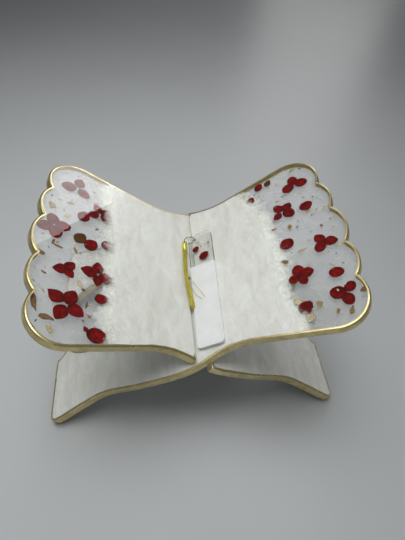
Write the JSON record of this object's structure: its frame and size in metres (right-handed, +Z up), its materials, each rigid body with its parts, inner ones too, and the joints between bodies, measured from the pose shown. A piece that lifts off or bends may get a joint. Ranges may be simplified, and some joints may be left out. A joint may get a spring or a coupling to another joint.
{
  "type": "quran stand",
  "caption": "X-shaped quran or book stand: two slotted resin boards that cross and swing, arched legs, scalloped clear wings with pressed petals, gilt edges, tasselled bookmark.",
  "frame": {"origin": "on the ground under the crossing line, at the centre of the footprint of the open stand", "axes": "+X from the left wing to the right wing, +Y to the back, +Z up; the crossing line runs along Y"},
  "size_m": [0.258, 0.189, 0.149],
  "materials": {
    "pearl_resin": "glossy epoxy with white mother-of-pearl pigment in streaks",
    "clear_resin": "water-clear glossy epoxy",
    "gilt_edge": "gilded: metallic pale gold paint over the cast edge",
    "gold_leaf": "crumpled metal leaf",
    "pressed_petal": "pressed dried petal, deep red, veined",
    "white_resin": "glossy opaque white epoxy",
    "ring_wire": "bright drawn wire",
    "tassel_cap": "polished",
    "gold_thread": "shiny rayon thread"
  },
  "bodies": {
    "right_board": {"right_clear_wing_end": "clear_resin", "right_flower_1": "pressed_petal", "right_flower_10": "pressed_petal", "right_flower_11": "pressed_petal", "right_flower_2": "pressed_petal", "right_flower_3": "pressed_petal", "right_flower_4": "pressed_petal", "right_flower_5": "pressed_petal", "right_flower_6": "pressed_petal", "right_flower_7": "pressed_petal", "right_flower_8": "pressed_petal", "right_flower_9": "pressed_petal", "right_gilt_edge": "gilt_edge", "right_gold_flakes": "gold_leaf", "right_pearl_board": "pearl_resin"},
    "left_board": {"left_clear_wing_end": "clear_resin", "left_flower_1": "pressed_petal", "left_flower_10": "pressed_petal", "left_flower_11": "pressed_petal", "left_flower_12": "pressed_petal", "left_flower_2": "pressed_petal", "left_flower_3": "pressed_petal", "left_flower_4": "pressed_petal", "left_flower_5": "pressed_petal", "left_flower_6": "pressed_petal", "left_flower_7": "pressed_petal", "left_flower_8": "pressed_petal", "left_flower_9": "pressed_petal", "left_gilt_edge": "gilt_edge", "left_gold_flakes": "gold_leaf", "left_pearl_board": "pearl_resin"},
    "bookmark": {"bookmark_clear_end": "clear_resin", "bookmark_gold_flakes": "gold_leaf", "bookmark_petal_1": "pressed_petal", "bookmark_petal_2": "pressed_petal", "bookmark_ring": "ring_wire", "bookmark_white_board": "white_resin", "tassel_cap": "tassel_cap", "tassel_loop": "gold_thread", "tassel_threads": "gold_thread"}
  },
  "joints": [
    {"name": "crossing_swing", "type": "hinge", "parent": "right_board", "child": "left_board", "pos_m": [0, 0, 0.07487], "axis": [0, 1, 0], "range_deg": [0, 60]},
    {"name": "bookmark_shift", "type": "slide", "parent": "right_board", "child": "bookmark", "axis": [0.8704, 0, 0.4924], "range_m": [0, 0.0135]}
  ],
  "couplings": [
    {"joint": "bookmark_shift", "follows": "crossing_swing", "m_per_rad": 0.0125}
  ]
}
